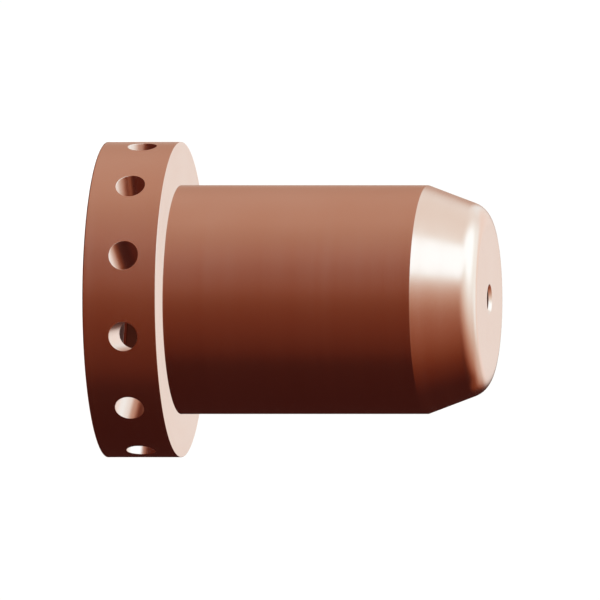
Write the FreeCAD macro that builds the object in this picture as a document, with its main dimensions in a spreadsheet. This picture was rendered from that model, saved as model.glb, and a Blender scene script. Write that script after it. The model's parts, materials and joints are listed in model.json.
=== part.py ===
# Nozzle of a plasma cutting torch, turned from one piece of copper.
# It stands on the rear face of its flange: +Z runs along its axis from that face to the nose, and
# the origin is the centre of the face. Lengths are in millimetres and angles in degrees.
import FreeCAD, Part
import math
import os

import Sketcher

doc = FreeCAD.newDocument("plasma_torch_nozzle")

# The driving dimensions. Each name is also the alias of its cell.
DIMENSIONS = {
    # outside, from the rear face to the nose
    "flange_diameter": 17.5,
    "flange_thickness": 4.1,
    "body_diameter": 12.7,
    "overall_length": 21.45,
    "nose_length": 3.45,
    "nose_half_angle": 20.5,
    "nose_round": 1.3,
    "edge_break": 0.05,
    # inside, from the rear face to the orifice
    "chamber_diameter": 10.6,
    "chamber_shelf": 0.55,
    "mouth_chamfer": 0.2,
    "bore_diameter": 8.6,
    "bore_chamfer": 0.3,
    "entry_half_angle": 45,
    "orifice_diameter": 1.3,
    "orifice_length": 1.8,
    "orifice_chamfer": 0.2,
    # gas holes through the wall of the flange, off centre so that the gas swirls
    "gas_hole_count": 12,
    "gas_hole_diameter": 1.6,
    "gas_hole_height": 2.25,
    "gas_hole_offset": 1.75,
}

sizes = doc.addObject("Spreadsheet::Sheet", "sizes")
for row, (alias, number) in enumerate(DIMENSIONS.items(), start=1):
    sizes.set(f"A{row}", alias)
    sizes.set(f"B{row}", str(number))
    sizes.setAlias(f"B{row}", alias)
doc.recompute()

# Radii and heights that follow from the driving dimensions.
AXIS = "0"
REAR_FACE = "0"
FRONT_FACE = "sizes.overall_length"
FLANGE_RADIUS = "sizes.flange_diameter / 2"
FLANGE_FRONT = "sizes.flange_thickness"
BODY_RADIUS = "sizes.body_diameter / 2"
NOSE_START = "sizes.overall_length - sizes.nose_length"
TIP_RADIUS = f"{BODY_RADIUS} - sizes.nose_length * tan(sizes.nose_half_angle)"
CHAMBER_RADIUS = "sizes.chamber_diameter / 2"
CHAMBER_END = "sizes.gas_hole_height + sizes.gas_hole_diameter / 2 + sizes.chamber_shelf"
BORE_RADIUS = "sizes.bore_diameter / 2"
ORIFICE_RADIUS = "sizes.orifice_diameter / 2"
ORIFICE_START = "sizes.overall_length - sizes.orifice_length"
ENTRY_START = f"{ORIFICE_START} - ({BORE_RADIUS} - {ORIFICE_RADIUS}) / tan(sizes.entry_half_angle)"

# The two turned profiles, as corners of radius and height, out from the rear face and up to the nose.
OUTSIDE = [
    (FLANGE_RADIUS, REAR_FACE),
    (FLANGE_RADIUS, FLANGE_FRONT),
    (BODY_RADIUS, FLANGE_FRONT),
    (BODY_RADIUS, NOSE_START),
    (TIP_RADIUS, FRONT_FACE),
]
INSIDE = [
    (CHAMBER_RADIUS, REAR_FACE),
    (CHAMBER_RADIUS, CHAMBER_END),
    (BORE_RADIUS, CHAMBER_END),
    (BORE_RADIUS, ENTRY_START),
    (ORIFICE_RADIUS, ORIFICE_START),
    (ORIFICE_RADIUS, FRONT_FACE),
]

nozzle = doc.addObject("PartDesign::Body", "nozzle")
nozzle.Label = "nozzle"


def value(expression):
    """Work out one radius or height from the sheet."""
    return float(sizes.evalExpression(expression))


def origin_feature(role):
    """Find the plane or axis of the nozzle's origin that has this role."""
    return next(feature for feature in nozzle.Origin.OriginFeatures if feature.Role == role)


def new_sketch(name):
    """Start a sketch on the plane through the axis: across is the radius, and up is the height."""
    sketch = nozzle.newObject("Sketcher::SketchObject", name)
    sketch.AttachmentSupport = [(origin_feature("XZ_Plane"), "")]
    sketch.MapMode = "FlatFace"
    return sketch


def hold(sketch, kind, *where):
    """Add a constraint that has no size."""
    sketch.addConstraint(Sketcher.Constraint(kind, *where))


def dimension(sketch, kind, where, expression):
    """Add a constraint whose size follows the sheet."""
    number = sketch.addConstraint(Sketcher.Constraint(kind, *where, value(expression)))
    sketch.setExpression(f"Constraints[{number}]", expression)


def turned_profile(name, steps):
    """Sketch a closed profile: out from the origin, through the steps, and back to the axis."""
    sketch = new_sketch(name)
    corners = [(AXIS, REAR_FACE), *steps, (AXIS, FRONT_FACE)]
    points = [FreeCAD.Vector(value(radius), value(height), 0) for radius, height in corners]
    closing = len(corners) - 1
    for start, end in zip(points, points[1:] + points[:1]):
        sketch.addGeometry(Part.LineSegment(start, end), False)
    hold(sketch, "Coincident", 0, 1, -1, 1)
    hold(sketch, "Coincident", closing, 2, 0, 1)
    hold(sketch, "Vertical", closing)
    for side in range(closing):
        hold(sketch, "Coincident", side, 2, side + 1, 1)
        radius, height = corners[side + 1]
        if height == corners[side][1]:
            hold(sketch, "Horizontal", side)
        else:
            dimension(sketch, "DistanceY", (-1, 1, side + 1, 1), height)
        if radius == corners[side][0]:
            hold(sketch, "Vertical", side)
        elif radius != AXIS:
            dimension(sketch, "DistanceX", (-1, 1, side + 1, 1), radius)
    return sketch


def turn(kind, name, sketch):
    """Revolve a profile about the axis, to add metal or to bore it out."""
    feature = nozzle.newObject(kind, name)
    feature.Profile = sketch
    feature.ReferenceAxis = (sketch, ["V_Axis"])
    feature.Angle = 360
    sketch.Visibility = False
    doc.recompute()
    return feature


def dress_edges(kind, name, base, size_name, expression, *circles):
    """Chamfer or round the edges of the base that are circles of these radii and heights."""
    wanted = [(value(radius), value(height)) for radius, height in circles]
    edges = []
    for number, edge in enumerate(base.Shape.Edges, start=1):
        if not isinstance(edge.Curve, Part.Circle):
            continue
        circle = (edge.Curve.Radius, edge.Curve.Center.z)
        if any(math.dist(circle, place) < 1e-4 for place in wanted):
            edges.append(f"Edge{number}")
    if len(edges) != len(wanted):
        raise ValueError(f"{name}: {len(edges)} edges found for {len(wanted)} circles")
    feature = nozzle.newObject(kind, name)
    feature.Base = (base, edges)
    feature.setExpression(size_name, expression)
    doc.recompute()
    return feature


# The bar is turned to the outside profile, its nose is rounded and its two rims are broken.
blank = turn("PartDesign::Revolution", "turned_blank", turned_profile("outside", OUTSIDE))
rounded = dress_edges(
    "PartDesign::Fillet", "nose_round", blank, "Radius", "sizes.nose_round", (TIP_RADIUS, FRONT_FACE)
)
broken = dress_edges(
    "PartDesign::Chamfer", "flange_edges", rounded, "Size", "sizes.edge_break",
    (FLANGE_RADIUS, REAR_FACE), (FLANGE_RADIUS, FLANGE_FRONT),
)

# It is bored from the rear: the swirl chamber, the electrode bore, the entry cone and the orifice.
bored = turn("PartDesign::Groove", "bored_inside", turned_profile("inside", INSIDE))
mouth = dress_edges(
    "PartDesign::Chamfer", "mouth_chamfer", bored, "Size", "sizes.mouth_chamfer", (CHAMBER_RADIUS, REAR_FACE)
)
lead_in = dress_edges(
    "PartDesign::Chamfer", "bore_chamfer", mouth, "Size", "sizes.bore_chamfer", (BORE_RADIUS, CHAMBER_END)
)
flared = dress_edges(
    "PartDesign::Chamfer", "orifice_flare", lead_in, "Size", "sizes.orifice_chamfer",
    (ORIFICE_RADIUS, FRONT_FACE),
)

# One gas hole is drilled from the outside into the chamber, parallel to the radius and beside it.
hole_sketch = new_sketch("gas_hole_circle")
hole_centre = FreeCAD.Vector(value("sizes.gas_hole_offset"), value("sizes.gas_hole_height"), 0)
hole_radius = value("sizes.gas_hole_diameter") / 2
hole_sketch.addGeometry(Part.Circle(hole_centre, FreeCAD.Vector(0, 0, 1), hole_radius), False)
dimension(hole_sketch, "DistanceX", (-1, 1, 0, 3), "sizes.gas_hole_offset")
dimension(hole_sketch, "DistanceY", (-1, 1, 0, 3), "sizes.gas_hole_height")
dimension(hole_sketch, "Diameter", (0,), "sizes.gas_hole_diameter")

gas_hole = nozzle.newObject("PartDesign::Pocket", "gas_hole")
gas_hole.Profile = hole_sketch
gas_hole.Type = "ThroughAll"
gas_hole.Reversed = True
hole_sketch.Visibility = False
doc.recompute()

# The hole is repeated round the flange.
gas_holes = nozzle.newObject("PartDesign::PolarPattern", "gas_holes")
gas_holes.Originals = [gas_hole]
gas_holes.Axis = (origin_feature("Z_Axis"), [""])
gas_holes.Angle = 360
gas_holes.setExpression("Occurrences", "sizes.gas_hole_count")
nozzle.Tip = gas_holes
doc.recompute()

# Each cut has to take metal away, and all holes together as much as one hole times their count.
for before, after in [(broken, bored), (flared, gas_hole)]:
    if after.Shape.Volume >= before.Shape.Volume:
        raise ValueError(f"{after.Name} cuts nothing")
one_hole = flared.Shape.Volume - gas_hole.Shape.Volume
all_holes = flared.Shape.Volume - gas_holes.Shape.Volume
if round(all_holes / one_hole) != gas_holes.Occurrences:
    raise ValueError("some gas holes are missing")

for item in doc.Objects:
    if "Invalid" in item.State or "Error" in item.State:
        raise ValueError(f"{item.Name} failed: {item.State}")
if nozzle.Shape.isNull() or not nozzle.Shape.isValid() or len(nozzle.Shape.Solids) != 1:
    raise ValueError("the nozzle is not one sound solid")

os.makedirs("parts", exist_ok=True)
nozzle.Shape.exportStep(f"parts/{nozzle.Label}.step")
print(f"{nozzle.Label}: {nozzle.Shape.Volume:.1f} cubic mm, one gas hole takes {one_hole:.2f}")
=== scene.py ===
# %% [markdown]
# # A copper nozzle for a plasma cutting torch
# The nozzle is one small piece of copper, about as long as a thumbnail. It is turned on a lathe from
# solid bar, bored from the rear, and then drilled twelve times through its flange. This lesson builds it
# again as a fine mesh, gives it the finish that the lathe and the drill leave, and lights it in a small
# studio. Lengths are in metres, and a size in millimetres is multiplied by MM.

# %% Load the frame
import json
import math

import bmesh
import bpy
from mathutils import Matrix, Vector


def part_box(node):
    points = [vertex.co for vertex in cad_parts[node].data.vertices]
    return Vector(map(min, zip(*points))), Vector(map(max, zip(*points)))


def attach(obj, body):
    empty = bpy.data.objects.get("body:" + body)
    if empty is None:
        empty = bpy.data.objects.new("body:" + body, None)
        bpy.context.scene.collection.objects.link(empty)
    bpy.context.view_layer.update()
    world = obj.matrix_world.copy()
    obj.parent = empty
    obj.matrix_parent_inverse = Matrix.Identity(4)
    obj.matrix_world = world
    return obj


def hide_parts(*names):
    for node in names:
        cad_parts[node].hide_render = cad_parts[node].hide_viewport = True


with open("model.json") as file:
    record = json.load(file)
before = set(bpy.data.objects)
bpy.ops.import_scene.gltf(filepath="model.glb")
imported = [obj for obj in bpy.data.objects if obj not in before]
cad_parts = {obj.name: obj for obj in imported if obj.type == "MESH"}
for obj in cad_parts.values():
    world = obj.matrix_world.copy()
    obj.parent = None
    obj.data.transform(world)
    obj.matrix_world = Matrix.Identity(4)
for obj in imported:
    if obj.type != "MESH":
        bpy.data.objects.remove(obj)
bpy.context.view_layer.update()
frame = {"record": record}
scene = bpy.context.scene
MM = 0.001

# %% [markdown]
# ## Helpers
# Colours are written as sRGB hex values, because that is how a colour picker shows them, but the shaders
# work with linear light. One function turns the one into the other. A second function adds any kind of
# node, sets its options, links or fills its inputs and gives a colour ramp its stops. A tree then reads as
# a list of its nodes.


# %% Colours and nodes
def linear(colour):
    """Turn a hex colour such as #808080 into linear red, green, blue and alpha."""
    channels = [int(colour[place:place + 2], 16) / 255 for place in (1, 3, 5)]
    return [c / 12.92 if c <= 0.04045 else ((c + 0.055) / 1.055) ** 2.4 for c in channels] + [1]


def add_node(tree, kind, inputs=None, stops=(), **options):
    """Add a node, set its options, link or fill the inputs that are named or numbered, and add its stops."""
    node = tree.nodes.new(kind)
    for option, setting in options.items():
        setattr(node, option, setting)
    for socket, source in (inputs or {}).items():
        if isinstance(source, bpy.types.NodeSocket):
            tree.links.new(source, node.inputs[socket])
        else:
            node.inputs[socket].default_value = source
    for count, (position, colour) in enumerate(stops):
        elements = node.color_ramp.elements
        stop = elements[count] if count < len(elements) else elements.new(1)
        stop.position = position
        stop.color = colour
    return node


print("middle grey in linear light:", [round(c, 3) for c in linear("#808080")])

# %% [markdown]
# ## Sizes
# Many of the sizes stand in the frame already, as the places where the nozzle meets the rest of the
# torch. The others are named here, each once. Real turned edges are never quite sharp, so each corner of
# the profile also has a small rounding, which is what catches the light along an edge.

# %% Sizes from the frame
mounts = {mount["name"]: mount for mount in frame["record"]["mounts"]}


def mount_size(name, size):
    """Read the radius (r_mm) or length (length_mm) of a mount, in metres."""
    return mounts[name]["dims"][size] * MM


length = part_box("nozzle")[1].z
flange_radius = mount_size("flange_rim", "r_mm")
flange_top = mounts["flange_shoulder"]["pos_m"][2]
body_radius = mount_size("body_spigot", "r_mm")
cone_start = flange_top + mount_size("body_spigot", "length_mm")
chamber_radius = mount_size("swirl_chamber", "r_mm")
bore_radius = mount_size("electrode_bore", "r_mm")
print("flange", flange_radius / MM, "body", body_radius / MM, "cone from", round(cone_start / MM, 3))

# %% Sizes that belong to the nozzle alone
CONE_HALF_ANGLE = math.radians(20.5)
NOSE_ROUND = 1.3 * MM
ORIFICE_RADIUS = 0.65 * MM
ORIFICE_CHAMFER = 0.2 * MM
MOUTH_CHAMFER = 0.2 * MM
LEAD_IN = 0.3 * MM
EDGE_ROUND = 0.05 * MM
TOOL_ROUND = 0.1 * MM
SHARP_ROUND = 0.02 * MM
FOOT_ROUND = 0.01 * MM

GAS_HOLES = 12
HOLE_RADIUS = 0.8 * MM
HOLE_HEIGHT = 2.25 * MM
HOLE_OFFSET = 1.75 * MM
HOLE_EDGE = 0.02 * MM

tip_radius = body_radius - (length - cone_start) * math.tan(CONE_HALF_ANGLE)
chamber_end = MOUTH_CHAMFER + mount_size("swirl_chamber", "length_mm")
bore_start = chamber_end + LEAD_IN
bore_end = bore_start + mount_size("electrode_bore", "length_mm")
orifice_start = bore_end + bore_radius - ORIFICE_RADIUS
print("tip", round(tip_radius / MM, 3), "land of the orifice", round((length - orifice_start) / MM, 3))

# %% [markdown]
# ## The profile that the lathe follows
# A lathe needs one line: the outline of half the section, from the flange over the nose and back through
# the bore. It is given as corners of radius and height, each with its rounding. A Bevel modifier could
# round the edges of a sharp solid instead, but it would give them all one width. A rounding gets as many
# steps as it needs to stay within half a thousandth of a millimetre of the true arc. On each side of it
# lies one guard point, which keeps the shading of the flats beside it flat.
#
# The line is kept in four stretches: over the front to the edge of the orifice, back through the bore,
# the sill where the chamber's wall turns into its mouth, and from there over the rear face. It is open in
# two places, at the rim of the flange and at the wall of the chamber, because there the gas holes go
# through. Those two bands are made further on, with the holes in them.

# %% Corners of the profile
ARC_ERROR = 0.0005 * MM
GUARD = 0.03 * MM

FRONT_CORNERS = [
    (flange_radius, flange_top, SHARP_ROUND),
    (body_radius, flange_top, FOOT_ROUND),
    (body_radius, cone_start, EDGE_ROUND),
    (tip_radius, length, NOSE_ROUND),
    (ORIFICE_RADIUS + ORIFICE_CHAMFER, length, SHARP_ROUND),
]
BORE_CORNERS = [
    (ORIFICE_RADIUS, length - ORIFICE_CHAMFER, SHARP_ROUND),
    (ORIFICE_RADIUS, orifice_start, TOOL_ROUND),
    (bore_radius, bore_end, TOOL_ROUND),
    (bore_radius, bore_start, EDGE_ROUND),
    (bore_radius + LEAD_IN, chamber_end, EDGE_ROUND),
    (chamber_radius, chamber_end, TOOL_ROUND),
]
SILL_CORNERS = [(chamber_radius, MOUTH_CHAMFER, SHARP_ROUND)]
MOUTH_CORNERS = [(chamber_radius + MOUTH_CHAMFER, 0, SHARP_ROUND)]
REAR_CORNERS = [(flange_radius, 0, EDGE_ROUND)]


def round_corner(before, corner, after, radius):
    """Return the points of a rounded corner, with a guard point at each end."""
    back = (before - corner).normalized()
    ahead = (after - corner).normalized()
    half = back.angle(ahead) / 2
    reach = radius / math.tan(half)
    middle = corner + (back + ahead).normalized() * radius / math.sin(half)
    start = corner + back * reach - middle
    end = corner + ahead * reach - middle
    turn = start.angle(end)
    steps = math.ceil(turn / math.sqrt(8 * ARC_ERROR / radius))
    arc = [middle + start.slerp(end, step / steps).normalized() * radius for step in range(steps + 1)]
    return [corner + back * (reach + GUARD), *arc, corner + ahead * (reach + GUARD)]


def round_corners(first, corners, last):
    """Round each corner of a stretch of the profile that comes from first and goes on to last."""
    places = [Vector(place[:2]) for place in (first, *corners, last)]
    points = []
    for number, (_, _, radius) in enumerate(corners):
        points += round_corner(*places[number:number + 3], radius)
    return points


front_line = round_corners(REAR_CORNERS[-1], FRONT_CORNERS, BORE_CORNERS[0])
bore_line = round_corners(FRONT_CORNERS[-1], BORE_CORNERS, SILL_CORNERS[0])
sill_line = round_corners(BORE_CORNERS[-1], SILL_CORNERS, MOUTH_CORNERS[0])
mouth_line = round_corners(SILL_CORNERS[-1], MOUTH_CORNERS, REAR_CORNERS[0])
rear_line = round_corners(MOUTH_CORNERS[-1], REAR_CORNERS, FRONT_CORNERS[0])
front_line.append(bore_line[0])
rear_line = [sill_line[-1], *mouth_line, *rear_line]
print("profile:", [len(line) for line in (front_line, bore_line, sill_line, rear_line)], "points")


# %% The profile as curves
def profile_curve(name, lines):
    """Make a curve object of straight-edged lines through points of radius and height."""
    curve = bpy.data.curves.new(name, "CURVE")
    curve.dimensions = "3D"
    for line in lines:
        spline = curve.splines.new("POLY")
        spline.points.add(len(line) - 1)
        for point, (radius, height) in zip(spline.points, line):
            point.co = (radius, height, 0, 1)
    curve_object = bpy.data.objects.new(name, curve)
    scene.collection.objects.link(curve_object)
    return curve_object


outside_profile = profile_curve("outside_profile", [front_line, rear_line])
bore_profile = profile_curve("bore_profile", [bore_line, sill_line])
print("lines:", len(outside_profile.data.splines), "outside and", len(bore_profile.data.splines), "inside")

# %% [markdown]
# ## One gas hole and the metal round it
# The holes are drilled beside the axis, not towards it, so that the gas enters the chamber at a slant
# and swirls. Cutting them with a boolean would leave slivers where a drill meets a round wall. Here the
# mesh runs round the hole from the start: rings of points go from the edge of a thirty degree patch of
# the rim to the hole, down its wall, and out again over a patch of the chamber's wall. Each point is
# worked out on the true cylinder, so a highlight runs smoothly up to the edge of the hole.

# %% Rings round a hole
STEPS_AROUND = 360
STEPS_UP = 20
steps_across = STEPS_AROUND // GAS_HOLES
step_angle = math.tau / STEPS_AROUND


def patch_border(first_step, low, high):
    """Return the points round a patch, as angle and height, one full turn."""
    left, right = first_step * step_angle, (first_step + steps_across) * step_angle
    across = [left + step * step_angle for step in range(steps_across)]
    up = [low + (high - low) * step / STEPS_UP for step in range(STEPS_UP)]
    border = [(angle, low) for angle in across]
    border += [(right, height) for height in up]
    border += [(left + right - angle, high) for angle in across]
    border += [(left, low + high - height) for height in up]
    return border


def on_wall(radius, angle, height, depth=0):
    """Return a point on a cylinder, or below it along the drill. Angle 0 faces the camera's side."""
    return Vector((radius * math.sin(angle), depth - radius * math.cos(angle), height))


def drill_angles(radius, border):
    """Return where on the drill's circle each border point is aimed at."""
    middle = math.asin(HOLE_OFFSET / radius)
    return [math.atan2(height - HOLE_HEIGHT, radius * (angle - middle)) for angle, height in border]


def drill_point(radius, turn, widen, depth=0):
    """Return a point on the drill's circle, widened by an edge, where it meets a cylinder."""
    across = HOLE_OFFSET + (HOLE_RADIUS + widen) * math.cos(turn)
    height = HOLE_HEIGHT + (HOLE_RADIUS + widen) * math.sin(turn)
    return on_wall(radius, math.asin(across / radius), height, depth)


print("a patch has", 2 * (steps_across + STEPS_UP), "points round it")

# %% Rings of one patch
PATCH_SHARES = (0, 0.16, 0.36, 0.58, 0.8, 1)
EDGE_STEPS = 3


def patch_rings(radius, first_step, low, high, inwards):
    """Return the rings from the border of a patch to the hole and round its edge into the drilled wall."""
    border = patch_border(first_step, low, high)
    turns = drill_angles(radius, border)
    rings = []
    for share in PATCH_SHARES:
        ring = []
        for (angle, height), turn in zip(border, turns):
            rim = drill_point(radius, turn, HOLE_EDGE + GUARD)
            rim_angle = math.asin(rim.x / radius)
            moved_angle = angle + (rim_angle - angle) * share
            ring.append(on_wall(radius, moved_angle, height + (rim.z - height) * share))
        rings.append(ring)
    for step in range(EDGE_STEPS + 1):
        lean = math.pi / 2 * step / EDGE_STEPS
        widen, depth = HOLE_EDGE * (1 - math.sin(lean)), HOLE_EDGE * (1 - math.cos(lean))
        rings.append([drill_point(radius, turn, widen, inwards * depth) for turn in turns])
    rings.append([drill_point(radius, turn, 0, inwards * (HOLE_EDGE + GUARD)) for turn in turns])
    return rings


RIM_FIRST_STEP = -3
CHAMBER_FIRST_STEP = 4
rim_rings = patch_rings(flange_radius, RIM_FIRST_STEP, rear_line[-1].y, front_line[0].y, 1)
chamber_rings = patch_rings(chamber_radius, CHAMBER_FIRST_STEP, sill_line[0].y, bore_line[-1].y, -1)
print("rings:", len(rim_rings), "on the rim and", len(chamber_rings), "in the chamber")

# %% The patch as a mesh
WALL_STEPS = 6
TURNED, DRILLED, BORED = 0, 1, 2


def drilled_wall(outer, inner):
    """Return the rings between the two ends of the drilled wall, each point kept on the drill's circle."""
    centre = Vector((HOLE_OFFSET, 0, HOLE_HEIGHT))
    rings = []
    for step in range(1, WALL_STEPS):
        ring = []
        for start, end in zip(outer, inner):
            point = start.lerp(end, step / WALL_STEPS)
            away = Vector((point.x, 0, point.z)) - centre
            ring.append(Vector((0, point.y, 0)) + centre + away.normalized() * HOLE_RADIUS)
        rings.append(ring)
    return rings


rings = [*rim_rings, *drilled_wall(rim_rings[-1], chamber_rings[-1]), *reversed(chamber_rings)]
around = len(rings[0])
quads = []
finishes = []
for row in range(len(rings) - 1):
    if row < len(PATCH_SHARES):
        finish = TURNED
    elif row < len(rings) - 1 - len(PATCH_SHARES):
        finish = DRILLED
    else:
        finish = BORED
    here, below = row * around, (row + 1) * around
    for step in range(around):
        ahead = (step + 1) % around
        quads.append([here + step, here + ahead, below + ahead, below + step])
        finishes.append(finish)

patch_mesh = bpy.data.meshes.new("drilled_patch")
patch_mesh.from_pydata([point for ring in rings for point in ring], [], quads)
patch_mesh.attributes.new("finish", "INT", "FACE").data.foreach_set("value", finishes)
patch = bpy.data.objects.new("drilled_patch", patch_mesh)
scene.collection.objects.link(patch)
print("patch:", len(quads), "faces, of which", finishes.count(DRILLED), "are the wall of the hole")

# %% [markdown]
# ## Turned copper
# Copper is a bare metal, so its whole colour is in its reflection: a pale pink that goes deep brown
# where it mirrors something dark. A lathe tool moves along the work as it turns and leaves a fine groove,
# one step for each turn. The real step is about 0.08 mm, which is too fine to show at this size, so the
# grooves are drawn 0.24 mm apart. They are rings round the axis on the wall and on the end faces alike.
# One coordinate serves for all of them: the height less the radius, which changes steadily across each.
#
# A pattern image would need an unwrapped mesh. Working from the object's own coordinates needs none, and
# the grooves stay true to the axis on each face.

# %% Turned copper
COPPER = "#FAD1C1"
COPPER_TARNISHED = "#F3C0AA"
TURNED_SMOOTH, TURNED_ROUGH = 0.19, 0.27
GROOVE_STEP = 0.24 * MM
GROOVE_DEPTH = 0.0005 * MM
TOOL_BAND = 0.9 * MM
TARNISH_PATCH = 5 * MM
# A wave texture whose scale is 1 repeats after this length.
WAVE_LENGTH = math.tau / 20


def start_metal(name):
    """Start a bare copper material and return its tree, its shader and the object coordinates."""
    material = bpy.data.materials.new(name)
    material.use_nodes = True
    tree = material.node_tree
    tree.nodes.clear()
    shader = add_node(tree, "ShaderNodeBsdfPrincipled", {"Metallic": 1})
    add_node(tree, "ShaderNodeOutputMaterial", {"Surface": shader.outputs["BSDF"]})
    place = add_node(tree, "ShaderNodeTexCoord").outputs["Object"]
    return material, tree, shader, place


turned_copper, tree, shader, place = start_metal("turned_copper")
axes = add_node(tree, "ShaderNodeSeparateXYZ", {"Vector": place})
sideways = add_node(tree, "ShaderNodeCombineXYZ", {"X": axes.outputs["X"], "Y": axes.outputs["Y"]})
from_axis = add_node(tree, "ShaderNodeVectorMath", {0: sideways.outputs[0]}, operation="LENGTH")
along = add_node(
    tree, "ShaderNodeMath", {0: axes.outputs["Z"], 1: from_axis.outputs["Value"]}, operation="SUBTRACT"
).outputs[0]
bands = add_node(
    tree, "ShaderNodeTexNoise", {"W": along, "Scale": 1 / TOOL_BAND, "Detail": 3, "Roughness": 0.6},
    noise_dimensions="1D",
).outputs[0]
on_profile = add_node(tree, "ShaderNodeCombineXYZ", {"X": along})
grooves = add_node(
    tree, "ShaderNodeTexWave", {"Vector": on_profile.outputs[0], "Scale": WAVE_LENGTH / GROOVE_STEP}
).outputs["Fac"]
ridges = add_node(tree, "ShaderNodeMath", {0: grooves, 1: bands}, operation="MULTIPLY").outputs[0]
relief = add_node(tree, "ShaderNodeBump", {"Height": ridges, "Distance": GROOVE_DEPTH, "Strength": 1})
tarnish = add_node(
    tree, "ShaderNodeTexNoise", {"Vector": place, "Scale": 1 / TARNISH_PATCH, "Detail": 4}
).outputs[0]
tint = add_node(
    tree, "ShaderNodeMix", {0: tarnish, 6: linear(COPPER), 7: linear(COPPER_TARNISHED)}, data_type="RGBA"
).outputs[2]
roughness = add_node(
    tree, "ShaderNodeMapRange", {"Value": bands, "To Min": TURNED_SMOOTH, "To Max": TURNED_ROUGH}
).outputs[0]
tree.links.new(tint, shader.inputs["Base Color"])
tree.links.new(roughness, shader.inputs["Roughness"])
tree.links.new(relief.outputs[0], shader.inputs["Normal"])
print("turned copper:", len(tree.nodes), "nodes, grooves", GROOVE_STEP / MM, "mm apart")

# %% [markdown]
# ## Drilled copper
# A twist drill leaves a duller wall than a lathe tool: the chips rub on it on their way out. The wall is
# still bare copper. The turned finish could run on into the holes, but then the rings of the lathe would
# cross them, so the wall has a material of its own, with a rougher and more uneven surface.

# %% Drilled copper
DRILLED_SMOOTH, DRILLED_ROUGH = 0.24, 0.36
DRILL_SMEAR = 0.25 * MM
DRILL_DEPTH = 0.002 * MM

drilled_copper, tree, shader, place = start_metal("drilled_copper")
smears = add_node(
    tree, "ShaderNodeTexNoise", {"Vector": place, "Scale": 1 / DRILL_SMEAR, "Detail": 2}
).outputs[0]
relief = add_node(tree, "ShaderNodeBump", {"Height": smears, "Distance": DRILL_DEPTH, "Strength": 1})
roughness = add_node(
    tree, "ShaderNodeMapRange", {"Value": smears, "To Min": DRILLED_SMOOTH, "To Max": DRILLED_ROUGH}
).outputs[0]
shader.inputs["Base Color"].default_value = linear(COPPER)
tree.links.new(roughness, shader.inputs["Roughness"])
tree.links.new(relief.outputs[0], shader.inputs["Normal"])
print("drilled copper:", len(tree.nodes), "nodes")

# %% [markdown]
# ## Bored copper
# The inside is bored and never polished. Its browns are painted shade: the nozzle is kept out of its own
# reflections, so the chamber behind the gas holes would mirror the bright studio, and the dark colour stands
# in for the shade of its walls. One plain brown would look flat, so a noise makes the painted shade darker
# in some places than in others, and the surface rougher there too.

# %% Bored copper
# Painted shade: these dark browns stand in for the shade inside the chamber.
BORE_PAINTED_SHADE = "#743828"
BORE_PAINTED_SHADE_DARK = "#4A2016"
BORED_SMOOTH, BORED_ROUGH = 0.4, 0.55
SHADE_PATCH = 1.5 * MM

bored_copper, tree, shader, place = start_metal("bored_copper")
painted_shade_noise = add_node(
    tree, "ShaderNodeTexNoise", {"Vector": place, "Scale": 1 / SHADE_PATCH, "Detail": 4}
).outputs[0]
# The noise mixes the two browns of painted shade.
tint = add_node(
    tree, "ShaderNodeMix", {0: painted_shade_noise, 6: linear(BORE_PAINTED_SHADE), 7: linear(BORE_PAINTED_SHADE_DARK)}, data_type="RGBA"
).outputs[2]
roughness = add_node(
    tree, "ShaderNodeMapRange", {"Value": painted_shade_noise, "To Min": BORED_SMOOTH, "To Max": BORED_ROUGH}
).outputs[0]
tree.links.new(tint, shader.inputs["Base Color"])
tree.links.new(roughness, shader.inputs["Roughness"])
print("bored copper:", len(tree.nodes), "nodes")

# %% [markdown]
# ## Turning and repeating with Geometry Nodes
# Two rules make the whole nozzle: the profile goes round the axis, and the drilled patch is repeated
# twelve times. A Screw and an Array modifier could do that too, one after the other on two objects.
# Geometry Nodes do both in one tree and weld the seam between them.
#
# Curve to Mesh sweeps a profile along a circle. The circle has a radius of its own, so the profile is first
# moved inwards by it, and turned over, because the sweep measures its second direction downwards. The
# outside and the bore are swept each by itself, and the bore is marked with the number of its finish. The
# patch is placed on points at the axis, each turned by its share of a full circle. Then all are joined and
# welded where they meet. The whole is turned copper at first, and the marked faces take the finish of the
# drill or of the bore.

# %% The inputs of the tree
PATH_RADIUS = 1 * MM
WELD = 0.0005 * MM

group = bpy.data.node_groups.new("turned_and_drilled", "GeometryNodeTree")
sockets = {}
for name, kind in [
    ("Outside Profile", "NodeSocketGeometry"), ("Bore Profile", "NodeSocketObject"),
    ("Patch", "NodeSocketObject"), ("Steps Around", "NodeSocketInt"), ("Path Radius", "NodeSocketFloat"),
    ("Gas Holes", "NodeSocketInt"), ("Weld Distance", "NodeSocketFloat"),
    ("Turned Finish", "NodeSocketMaterial"), ("Drilled Finish", "NodeSocketMaterial"),
    ("Bored Finish With Painted Shade", "NodeSocketMaterial"),
]:
    sockets[name] = group.interface.new_socket(name, in_out="INPUT", socket_type=kind).identifier
group.interface.new_socket("Geometry", in_out="OUTPUT", socket_type="NodeSocketGeometry")
given = add_node(group, "NodeGroupInput").outputs
print("inputs:", ", ".join(sockets))

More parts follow.
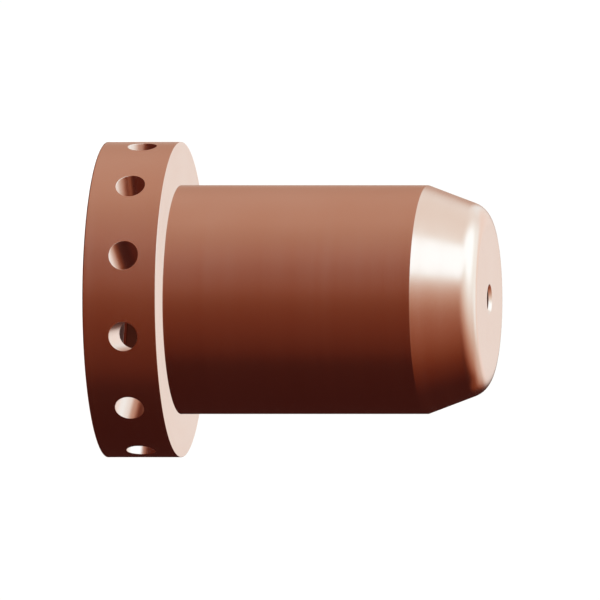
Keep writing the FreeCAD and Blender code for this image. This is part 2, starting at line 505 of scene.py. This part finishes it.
# %% Turn the profile
inwards = add_node(group, "ShaderNodeMath", {0: given["Path Radius"], 1: -1.0}, operation="MULTIPLY")
shift = add_node(group, "ShaderNodeCombineXYZ", {"X": inwards.outputs[0]})
path = add_node(
    group, "GeometryNodeCurvePrimitiveCircle",
    {"Resolution": given["Steps Around"], "Radius": given["Path Radius"]},
)
bore = add_node(group, "GeometryNodeObjectInfo", {"Object": given["Bore Profile"]})
swept = []
for section in (given["Outside Profile"], bore.outputs["Geometry"]):
    placed = add_node(
        group, "GeometryNodeTransform",
        {"Geometry": section, "Translation": shift.outputs[0], "Rotation": (math.pi, 0, 0)},
    )
    surface = add_node(
        group, "GeometryNodeCurveToMesh",
        {"Curve": path.outputs["Curve"], "Profile Curve": placed.outputs["Geometry"]},
    )
    swept.append(surface.outputs[0])
bored = add_node(
    group, "GeometryNodeStoreNamedAttribute", {"Geometry": swept[1], "Name": "finish", "Value": BORED},
    data_type="INT", domain="FACE",
)
print("swept surfaces:", len(swept))

# %% Repeat the patch
spacing = add_node(group, "ShaderNodeMath", {0: math.tau, 1: given["Gas Holes"]}, operation="DIVIDE")
index = add_node(group, "GeometryNodeInputIndex")
hole_angle = add_node(
    group, "ShaderNodeMath", {0: index.outputs[0], 1: spacing.outputs[0]}, operation="MULTIPLY"
)
upright = add_node(group, "ShaderNodeCombineXYZ", {"Z": hole_angle.outputs[0]})
spots = add_node(group, "GeometryNodePoints", {"Count": given["Gas Holes"]})
one_patch = add_node(group, "GeometryNodeObjectInfo", {"Object": given["Patch"]})
all_patches = add_node(
    group, "GeometryNodeInstanceOnPoints",
    {
        "Points": spots.outputs[0], "Instance": one_patch.outputs["Geometry"],
        "Rotation": upright.outputs[0],
    },
)
print("one patch for each of", GAS_HOLES, "gas holes")

# %% Join, weld and finish
whole = add_node(group, "GeometryNodeJoinGeometry", {"Geometry": swept[0]})
for more in (bored, all_patches):
    group.links.new(more.outputs[0], whole.inputs["Geometry"])
plain = add_node(group, "GeometryNodeRealizeInstances", {"Geometry": whole.outputs[0]})
welded = add_node(
    group, "GeometryNodeMergeByDistance",
    {"Geometry": plain.outputs[0], "Distance": given["Weld Distance"]},
)
face_mark = add_node(group, "GeometryNodeInputNamedAttribute", {"Name": "finish"}, data_type="INT")
finished = add_node(
    group, "GeometryNodeSetMaterial",
    {"Geometry": welded.outputs[0], "Material": given["Turned Finish"]},
)
# The drilled finish is bare copper; the bored one carries painted shade in its dark browns.
for mark, name in [(DRILLED, "Drilled Finish"), (BORED, "Bored Finish With Painted Shade")]:
    chosen = add_node(
        group, "FunctionNodeCompare", {2: face_mark.outputs["Attribute"], 3: mark},
        data_type="INT", operation="EQUAL",
    )
    finished = add_node(
        group, "GeometryNodeSetMaterial",
        {"Geometry": finished.outputs[0], "Selection": chosen.outputs[0], "Material": given[name]},
    )
add_node(group, "NodeGroupOutput", {"Geometry": finished.outputs[0]})
print("tree:", len(group.nodes), "nodes,", len(group.links), "links")

# %% [markdown]
# ## The finished mesh
# The tree runs once and leaves a plain mesh. The marks of the finishes have done their work and go, and so
# does the empty material slot that the sweep brings along. The nozzle is kept out of reflections, its own
# among them: in the picture each face mirrors the studio alone, also where the body stands close beside it.

# %% Run the tree and keep a plain mesh
modifier = outside_profile.modifiers.new("turned_and_drilled", "NODES")
modifier.node_group = group
for name, setting in {
    "Bore Profile": bore_profile, "Patch": patch, "Steps Around": STEPS_AROUND, "Path Radius": PATH_RADIUS,
    "Gas Holes": GAS_HOLES, "Weld Distance": WELD, "Turned Finish": turned_copper,
    "Drilled Finish": drilled_copper, "Bored Finish With Painted Shade": bored_copper,
}.items():
    modifier[sockets[name]] = setting

depsgraph = bpy.context.evaluated_depsgraph_get()
mesh = bpy.data.meshes.new_from_object(outside_profile.evaluated_get(depsgraph), depsgraph=depsgraph)
mesh.name = "nozzle_turned"
mesh.attributes.remove(mesh.attributes["finish"])
mesh.materials.pop(index=0)
nozzle = bpy.data.objects.new("nozzle_turned", mesh)
scene.collection.objects.link(nozzle)
outside_profile.modifiers.remove(modifier)
for helper in (outside_profile, bore_profile, patch):
    bpy.data.objects.remove(helper)

work = bmesh.new()
work.from_mesh(mesh)
bmesh.ops.recalc_face_normals(work, faces=work.faces)
open_edges = sum(not edge.is_manifold for edge in work.edges)
volume = work.calc_volume() / MM ** 3
work.to_mesh(mesh)
work.free()
mesh.shade_smooth()
nozzle.visible_glossy = False
if open_edges or volume <= 0:
    raise ValueError(f"the nozzle's mesh has {open_edges} open edges and a volume of {volume:.1f}")
print("nozzle:", len(mesh.polygons), "faces,", round(volume, 1), "cubic mm, closed")
print("finishes:", [material.name for material in mesh.materials])

# %% [markdown]
# ## The camera
# The picture has no perspective: the flange's outline is as tall at its front as at its rear. So the
# camera is orthographic. It stands level with the nozzle's side and a little above it, rolled so that
# the nozzle, which stands on its flange, points to the right.

# %% Camera
CAMERA_LIFT = math.radians(9.6)
CAMERA_TURN = math.radians(-2.04)
VIEW_WIDTH = 33.30 * MM
VIEW_MIDDLE = Vector((0.023 * MM, 0, 10.78 * MM))
CAMERA_DISTANCE = 200 * MM
NEAR_END, FAR_END = 1 * MM, 2000 * MM

around_axis = Matrix.Rotation(CAMERA_TURN, 3, "Z")
picture_right = around_axis @ Vector((0, math.sin(CAMERA_LIFT), math.cos(CAMERA_LIFT)))
picture_up = around_axis @ Vector((-1, 0, 0))
backwards = picture_right.cross(picture_up)
camera = bpy.data.objects.new("camera", bpy.data.cameras.new("camera"))
scene.collection.objects.link(camera)
scene.camera = camera
camera.data.type = "ORTHO"
camera.data.ortho_scale = VIEW_WIDTH
camera.data.clip_start = NEAR_END
camera.data.clip_end = FAR_END
turned_axes = Matrix((picture_right, picture_up, backwards)).transposed().to_4x4()
camera.matrix_world = Matrix.Translation(VIEW_MIDDLE + backwards * CAMERA_DISTANCE) @ turned_axes
print("camera at", [round(c / MM, 1) for c in camera.location])

# %% [markdown]
# ## The floor and its lamp
# The nozzle stands on a pale board. A lamp straight above it lights the board to white, and since the
# flange is the widest part and stands on the board, that lamp throws no shadow beside it. The lamp is just
# strong enough: a board brighter than white would shine over the nozzle's outline and make it thinner. The
# lamp is kept out of the copper's reflections, and so is the board, because a mirror-like wall that stands
# on a white board would show the board and not the studio.

# %% Floor and lamp
BOARD = "#F4F3F1"
BOARD_ROUGHNESS = 0.9
FLOOR_REACH = 1500 * MM
LAMP_STRENGTH = 3.6
LAMP_WIDTH = math.radians(1)

floor_mesh = bpy.data.meshes.new("floor")
corners = [(x * FLOOR_REACH, y * FLOOR_REACH, 0) for x, y in [(-1, -1), (1, -1), (1, 1), (-1, 1)]]
floor_mesh.from_pydata(corners, [], [(0, 1, 2, 3)])
floor = bpy.data.objects.new("floor", floor_mesh)
scene.collection.objects.link(floor)
floor.visible_glossy = False
pale_board = bpy.data.materials.new("pale_board")
pale_board.use_nodes = True
board_shader = pale_board.node_tree.nodes["Principled BSDF"]
board_shader.inputs["Base Color"].default_value = linear(BOARD)
board_shader.inputs["Roughness"].default_value = BOARD_ROUGHNESS
board_shader.inputs["Specular IOR Level"].default_value = 0
floor_mesh.materials.append(pale_board)

lamp = bpy.data.objects.new("board_lamp", bpy.data.lights.new("board_lamp", "SUN"))
scene.collection.objects.link(lamp)
lamp.data.energy = LAMP_STRENGTH
lamp.data.angle = LAMP_WIDTH
lamp.visible_glossy = False
print("floor reaches", FLOOR_REACH, "m each way")

# %% [markdown]
# ## The studio
# A metal shows nothing but its surroundings, so the studio is what paints it. Cards and area lamps could
# stand round the nozzle, as they do for a real photograph. Here the studio is made in the world instead, as
# brightness by direction, because each band on the copper mirrors one direction. Round the camera the
# walls of the studio run from bright, beyond the picture's top, to almost dark beyond its bottom. A little
# higher they are brighter, which is what the cone mirrors. Towards the ground they go dark, which shades
# one side of each gas hole. Overhead the light falls off evenly from one side to the other, which rounds
# the nose. The levels are matched to the picture, band by band.
#
# Soft lamps are laid over that. One gives the highlight on the cone. The other three stand behind the
# nozzle, each brighter and higher than the one before, and lead the shading of the rounded nose over into
# its flat face.

# %% Brightness round the camera, as stops of angle and level
LOW_WALL = [
    (-178, 0.04), (-171, 0.58), (-156, 0.47), (-125, 0.525), (-85, 0.49), (-47, 0.355), (-30, 0.274),
    (-13, 0.238), (3, 0.175), (19, 0.143), (35, 0.112), (52, 0.086), (68, 0.04),
]
HIGH_WALL = [
    (-170, 0.97), (-155, 0.9), (-110, 0.84), (-85, 0.85), (-35, 0.92), (-20, 0.87), (-5, 0.59), (12, 0.4),
    (31, 0.39), (41, 0.37), (51, 0.34), (66, 0.24), (82, 0.13), (107, 0.055), (121, 0.04),
]
GROUND_LEVEL = 0.08
print("studio walls:", len(LOW_WALL), "and", len(HIGH_WALL), "stops")


# %% Levels and directions
def level_colour(level):
    """Return a grey that stands for a brightness."""
    return (level, level, level, 1)


def toward(angle, height):
    """Return the direction at an angle from the camera's side and a height over the floor, in degrees."""
    angle, height = math.radians(angle), math.radians(height)
    flat = Vector((math.sin(angle), -math.cos(angle), 0)) * math.cos(height)
    return around_axis @ (flat + Vector((0, 0, math.sin(height))))


print("the picture's bottom lies toward", [round(c, 2) for c in toward(90, 0)])

# %% The walls
GROUND_ENDS, LOW_STARTS = math.radians(-36), math.radians(-14)
LOW_ENDS, HIGH_STARTS = math.radians(-5), math.radians(9)
HIGH_ENDS, TOP_STARTS = math.radians(18), math.radians(40)

world = bpy.data.worlds.new("studio")
scene.world = world
world.use_nodes = True
tree = world.node_tree
tree.nodes.clear()

direction = add_node(tree, "ShaderNodeTexCoord").outputs["Generated"]
facing = add_node(
    tree, "ShaderNodeMapping", {"Vector": direction, "Rotation": (0, 0, math.pi / 2 - CAMERA_TURN)}
).outputs[0]
round_camera = add_node(
    tree, "ShaderNodeTexGradient", {"Vector": facing}, gradient_type="RADIAL"
).outputs["Fac"]
walls = []
for wall in (LOW_WALL, HIGH_WALL):
    stops = [(0.5 + angle / 360, level_colour(level)) for angle, level in wall]
    walls.append(add_node(tree, "ShaderNodeValToRGB", {"Fac": round_camera}, stops).outputs["Color"])
upwards = add_node(tree, "ShaderNodeSeparateXYZ", {"Vector": direction}).outputs["Z"]
climbs = []
for low, high in [(GROUND_ENDS, LOW_STARTS), (LOW_ENDS, HIGH_STARTS), (HIGH_ENDS, TOP_STARTS)]:
    climb = add_node(
        tree, "ShaderNodeMapRange",
        {"Value": upwards, "From Min": math.sin(low), "From Max": math.sin(high)},
        interpolation_type="SMOOTHSTEP",
    ).outputs[0]
    climbs.append(climb)
print("two walls, and", len(climbs), "climbs from one level to the next")

# %% Light overhead
TOP_ANGLE, TOP_HEIGHT = -100, 55
TOP_REACH = 99
TOP_LEVEL = 1.06

near_top = add_node(
    tree, "ShaderNodeVectorMath", {0: direction, 1: toward(TOP_ANGLE, TOP_HEIGHT)},
    operation="DOT_PRODUCT",
)
overhead = add_node(
    tree, "ShaderNodeMapRange",
    {
        "Value": near_top.outputs["Value"], "From Min": math.cos(math.radians(TOP_REACH)),
        "To Max": TOP_LEVEL,
    },
)
brightness = level_colour(GROUND_LEVEL)
for climb, layer in zip(climbs, (*walls, overhead.outputs[0])):
    brightness = add_node(
        tree, "ShaderNodeMix", {0: climb, 6: brightness, 7: layer}, data_type="RGBA"
    ).outputs[2]
print("overhead light reaches", TOP_REACH, "degrees from its middle")


# %% Soft lamps
def soft_lamp(before, colour, angle, height, inner, outer):
    """Lay a round lamp over what is there, full as far out as inner and gone at outer, in degrees."""
    nearness = add_node(
        tree, "ShaderNodeVectorMath", {0: direction, 1: toward(angle, height)}, operation="DOT_PRODUCT"
    )
    share = add_node(
        tree, "ShaderNodeMapRange",
        {
            "Value": nearness.outputs["Value"], "From Min": math.cos(math.radians(outer)),
            "From Max": math.cos(math.radians(inner)),
        },
        interpolation_type="SMOOTHSTEP",
    )
    return add_node(
        tree, "ShaderNodeMix", {0: share.outputs[0], 6: before, 7: colour}, data_type="RGBA"
    ).outputs[2]


# Each lamp is its level, its angle and height, how far out it is full and where it is gone.
CONE_LAMP = (1.1, -48, 27, 5, 27)
DIM_LAMP = (0.2, 143, 24, 4, 18)
BACK_LAMP = (0.66, 171, 37, 6, 30)
HIGH_LAMP = (0.95, -168, 48, 10, 24)
for level, *spread in (CONE_LAMP, DIM_LAMP, BACK_LAMP, HIGH_LAMP):
    brightness = soft_lamp(brightness, level_colour(level), *spread)
print("studio so far:", len(tree.nodes), "nodes")

# %% [markdown]
# ## The colour of the light
# In the picture the copper goes from a dark brown through red-brown to a pink that is nearly white. Under
# neutral light one copper colour keeps its hue and only gets brighter. So a ramp turns brightness into
# colour, from brown over amber to a bluish white, as in a room where dim light is warm and bright light is
# cool. Each stop is matched to the copper in the picture at that brightness. Copper takes green and blue
# away, and it needs the bluish white to look white in its highlights. The brightest colours lie beyond 1,
# where a ramp's stops end, so the ramp holds every colour at two fifths of its strength, and the background
# multiplies it by two and a half. The pale screen behind the nozzle has a neutral colour of its own. The
# two faces that look along the axis mirror it.
#
# The light path keeps two things apart. The copper's reflections see the studio, and the camera sees plain
# white beyond the board's edge. The board itself is lit by neither. The view is Standard, which shows every
# colour as it is, while the usual view would grey the whites.

# %% Colour of the light
WARMTH = [
    (0.04, "#230E0C"), (0.066, "#2D110D"), (0.135, "#421E12"), (0.19, "#4E2817"), (0.254, "#5A3627"),
    (0.35, "#694A3C"), (0.42, "#725A4C"), (0.5, "#7C695D"), (0.59, "#857A72"), (0.718, "#929794"),
    (0.86, "#9EB0B5"), (0.93, "#A4C0CA"), (0.97, "#AACAD4"), (1, "#B3DAED"),
]
SCREEN = "#A1A6A5"
# The screen's angle and height, how far out it is full and where it is gone.
SCREEN_SPREAD = (-174, 20, 12, 22)
STUDIO_STRENGTH = 2.5

amount = add_node(tree, "ShaderNodeSeparateColor", {"Color": brightness}).outputs["Red"]
stops = [(level, linear(colour)) for level, colour in WARMTH]
warmth = add_node(tree, "ShaderNodeValToRGB", {"Fac": amount}, stops)
light = soft_lamp(warmth.outputs["Color"], linear(SCREEN), *SCREEN_SPREAD)
studio = add_node(tree, "ShaderNodeBackground", {"Color": light, "Strength": STUDIO_STRENGTH})
ray = add_node(tree, "ShaderNodeLightPath").outputs
backdrop = add_node(
    tree, "ShaderNodeBackground", {"Color": (1, 1, 1, 1), "Strength": ray["Is Camera Ray"]}
)
either = add_node(
    tree, "ShaderNodeMixShader", {0: ray["Is Glossy Ray"], 1: backdrop.outputs[0], 2: studio.outputs[0]}
)
add_node(tree, "ShaderNodeOutputWorld", {"Surface": either.outputs[0]})
scene.view_settings.view_transform = "Standard"
print("warmth:", len(WARMTH), "stops, and in all", len(tree.nodes), "nodes in the studio")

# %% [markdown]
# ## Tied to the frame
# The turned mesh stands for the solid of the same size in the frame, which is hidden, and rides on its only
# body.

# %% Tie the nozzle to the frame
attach(nozzle, "root")
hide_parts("nozzle")
